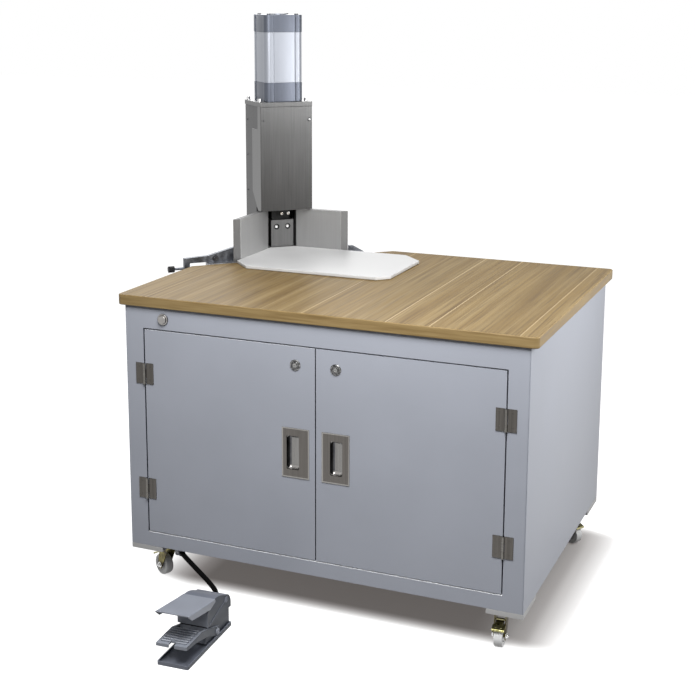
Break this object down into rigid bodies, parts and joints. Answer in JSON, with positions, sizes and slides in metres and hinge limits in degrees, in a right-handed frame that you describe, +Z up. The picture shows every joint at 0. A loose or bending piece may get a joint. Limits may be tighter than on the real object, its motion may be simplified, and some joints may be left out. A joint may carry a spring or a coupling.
{
  "type": "pneumatic corner rounder",
  "caption": "Floor-standing pneumatic corner rounder: a cabinet on casters with doors, a laminate worktop with a cut-off corner, a press tower with fences, and a foot pedal.",
  "frame": {"origin": "centre of the footprint of everything but the hose, on the floor", "axes": "+X to the right along the doors, +Y to the back, +Z up"},
  "size_m": [1.2782, 1.2976, 1.621],
  "materials": {
    "blue_grey_paint": "satin powder coat",
    "oak_laminate": "satin laminate with dark planks",
    "brushed_steel": "brushed",
    "chrome": "polished",
    "dark_steel": "ground and oiled",
    "cylinder_grey": "satin",
    "aluminium": "drawn, anodised",
    "yellow_zinc": "yellow zinc plate",
    "wheel_plastic": "satin",
    "white_plate": "satin",
    "pedal_grey": "fine grained",
    "black_rubber": "matte"
  },
  "bodies": {
    "cabinet": {"back_panel": "blue_grey_paint", "button_bezel": "chrome", "cutting_plate": "white_plate", "cylinder_barrel": "aluminium", "cylinder_lower_cap": "cylinder_grey", "cylinder_upper_cap": "cylinder_grey", "floor_panel": "blue_grey_paint", "front_frame": "blue_grey_paint", "front_left_caster_pad": "brushed_steel", "front_right_caster_pad": "brushed_steel", "left_fence": "brushed_steel", "left_lower_frame_leaf": "brushed_steel", "left_side_panel": "blue_grey_paint", "left_upper_frame_leaf": "brushed_steel", "lower_die": "brushed_steel", "pedal_base": "pedal_grey", "pedal_guard": "pedal_grey", "pedal_hose": "black_rubber", "pedal_housing": "pedal_grey", "press_bed": "dark_steel", "press_column": "brushed_steel", "rear_left_caster_pad": "brushed_steel", "rear_right_caster_pad": "brushed_steel", "right_fence": "brushed_steel", "right_lower_frame_leaf": "brushed_steel", "right_side_panel": "blue_grey_paint", "right_upper_frame_leaf": "brushed_steel", "tabletop": "oak_laminate", "top_panel": "blue_grey_paint", "tower_cover": "brushed_steel", "tower_top_plate": "brushed_steel"},
    "left_door_body": {"left_door": "blue_grey_paint", "left_upper_door_leaf": "brushed_steel", "left_lower_door_leaf": "brushed_steel", "left_pull": "brushed_steel", "left_lock_body": "chrome"},
    "left_lock": {"left_lock_plug": "dark_steel"},
    "right_door_body": {"right_door": "blue_grey_paint", "right_upper_door_leaf": "brushed_steel", "right_lower_door_leaf": "brushed_steel", "right_pull": "brushed_steel", "right_lock_body": "chrome"},
    "right_lock": {"right_lock_plug": "dark_steel"},
    "start_button": {"button_cap": "brushed_steel"},
    "front_left_swivel_fork": {"front_left_caster_fork": "yellow_zinc"},
    "front_left_wheel": {"front_left_caster_wheel": "wheel_plastic"},
    "front_left_brake": {"front_left_brake_tab": "yellow_zinc"},
    "front_right_swivel_fork": {"front_right_caster_fork": "yellow_zinc"},
    "front_right_wheel": {"front_right_caster_wheel": "wheel_plastic"},
    "front_right_brake": {"front_right_brake_tab": "yellow_zinc"},
    "rear_right_swivel_fork": {"rear_right_caster_fork": "yellow_zinc"},
    "rear_right_wheel": {"rear_right_caster_wheel": "wheel_plastic"},
    "rear_right_brake": {"rear_right_brake_tab": "yellow_zinc"},
    "rear_left_swivel_fork": {"rear_left_caster_fork": "yellow_zinc"},
    "rear_left_wheel": {"rear_left_caster_wheel": "wheel_plastic"},
    "rear_left_brake": {"rear_left_brake_tab": "yellow_zinc"},
    "ram_body": {"piston_rod": "chrome", "ram": "dark_steel", "corner_blade": "brushed_steel"},
    "treadle": {"pedal_treadle": "pedal_grey"}
  },
  "joints": [
    {"name": "left_door_hinge", "type": "hinge", "parent": "cabinet", "child": "left_door_body", "pos_m": [-0.48241, -0.26622, 0], "axis": [0, 0, -1], "range_deg": [0, 120]},
    {"name": "right_door_hinge", "type": "hinge", "parent": "cabinet", "child": "right_door_body", "pos_m": [0.56059, -0.26622, 0], "axis": [0, 0, 1], "range_deg": [0, 120]},
    {"name": "left_lock_turn", "type": "hinge", "parent": "left_door_body", "child": "left_lock", "pos_m": [-0.01941, -0.26192, 0.714], "axis": [0, 1, 0], "range_deg": [0, 90]},
    {"name": "right_lock_turn", "type": "hinge", "parent": "right_door_body", "child": "right_lock", "pos_m": [0.09759, -0.26192, 0.714], "axis": [0, -1, 0], "range_deg": [0, 90]},
    {"name": "button_press", "type": "slide", "parent": "cabinet", "child": "start_button", "axis": [0, 1, 0], "range_m": [0, 0.004], "stiffness_N_per_m": 300, "springref_m": -0.003},
    {"name": "front_left_swivel", "type": "hinge", "parent": "cabinet", "child": "front_left_swivel_fork", "pos_m": [-0.46491, -0.18192, 0], "axis": [0, 0, 1], "continuous": true},
    {"name": "front_left_roll", "type": "hinge", "parent": "front_left_swivel_fork", "child": "front_left_wheel", "pos_m": [-0.49029, -0.17009, 0.031], "axis": [-0.4226, -0.9063, 0], "continuous": true},
    {"name": "front_left_brake_press", "type": "hinge", "parent": "front_left_swivel_fork", "child": "front_left_brake", "pos_m": [-0.48485, -0.17262, 0.072], "axis": [-0.4226, -0.9063, 0], "range_deg": [0, 10]},
    {"name": "front_right_swivel", "type": "hinge", "parent": "cabinet", "child": "front_right_swivel_fork", "pos_m": [0.54309, -0.18192, 0], "axis": [0, 0, 1], "continuous": true},
    {"name": "front_right_roll", "type": "hinge", "parent": "front_right_swivel_fork", "child": "front_right_wheel", "pos_m": [0.54504, -0.20985, 0.031], "axis": [0.9976, 0.0698, 0], "continuous": true},
    {"name": "front_right_brake_press", "type": "hinge", "parent": "front_right_swivel_fork", "child": "front_right_brake", "pos_m": [0.54462, -0.20387, 0.072], "axis": [0.9976, 0.0698, 0], "range_deg": [0, 10]},
    {"name": "rear_right_swivel", "type": "hinge", "parent": "cabinet", "child": "rear_right_swivel_fork", "pos_m": [0.54309, 0.53808, 0], "axis": [0, 0, 1], "continuous": true},
    {"name": "rear_right_roll", "type": "hinge", "parent": "rear_right_swivel_fork", "child": "rear_right_wheel", "pos_m": [0.56734, 0.52408, 0.031], "axis": [0.5, 0.866, 0], "continuous": true},
    {"name": "rear_right_brake_press", "type": "hinge", "parent": "rear_right_swivel_fork", "child": "rear_right_brake", "pos_m": [0.56214, 0.52708, 0.072], "axis": [0.5, 0.866, 0], "range_deg": [0, 10]},
    {"name": "rear_left_swivel", "type": "hinge", "parent": "cabinet", "child": "rear_left_swivel_fork", "pos_m": [-0.46491, 0.53808, 0], "axis": [0, 0, 1], "continuous": true},
    {"name": "rear_left_roll", "type": "hinge", "parent": "rear_left_swivel_fork", "child": "rear_left_wheel", "pos_m": [-0.48785, 0.52202, 0.031], "axis": [0.5736, -0.8192, 0], "continuous": true},
    {"name": "rear_left_brake_press", "type": "hinge", "parent": "rear_left_swivel_fork", "child": "rear_left_brake", "pos_m": [-0.48293, 0.52546, 0.072], "axis": [0.5736, -0.8192, 0], "range_deg": [0, 10]},
    {"name": "ram_travel", "type": "slide", "parent": "cabinet", "child": "ram_body", "axis": [0, 0, 1], "range_m": [0, 0.04]},
    {"name": "treadle_press", "type": "hinge", "parent": "cabinet", "child": "treadle", "pos_m": [-0.1983, -0.46902, 0.022], "axis": [0.9989, 0.0471, 0], "range_deg": [0, 7], "stiffness_Nm_per_rad": 6, "springref_deg": -8.59}
  ]
}
